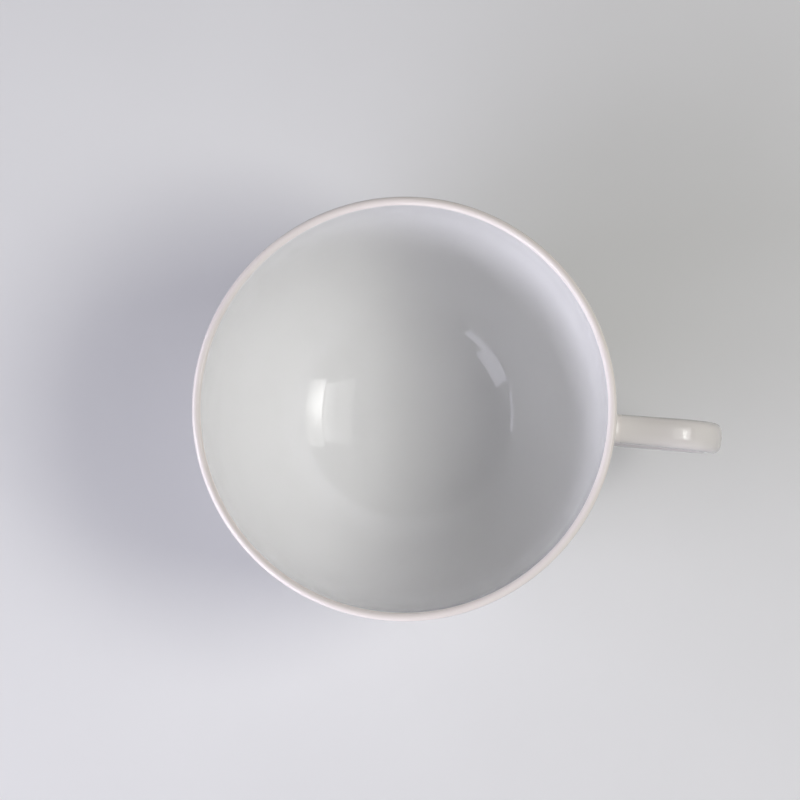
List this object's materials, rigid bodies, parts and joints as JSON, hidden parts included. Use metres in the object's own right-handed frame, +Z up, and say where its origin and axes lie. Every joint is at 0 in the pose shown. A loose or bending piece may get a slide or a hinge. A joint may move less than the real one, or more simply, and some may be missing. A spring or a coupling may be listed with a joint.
{
  "type": "shaving mug",
  "caption": "Deep round glazed porcelain cup on a foot ring, with an ear-shaped strap handle luted on with slip, for mixing shaving lather.",
  "frame": {"origin": "on the bowl's axis, in the plane of the foot ring's bearing face", "axes": "+Z up along the bowl's axis, +X towards the handle, +Y to the left of someone who looks along +X"},
  "size_m": [0.1403, 0.11, 0.072],
  "materials": {
    "glazed_porcelain": "polished",
    "glazed_slip": "polished"
  },
  "bodies": {
    "root": {"bowl": "glazed_porcelain", "handle": "glazed_porcelain", "upper_slip_joint": "glazed_slip", "lower_slip_joint": "glazed_slip"}
  },
  "joints": []
}
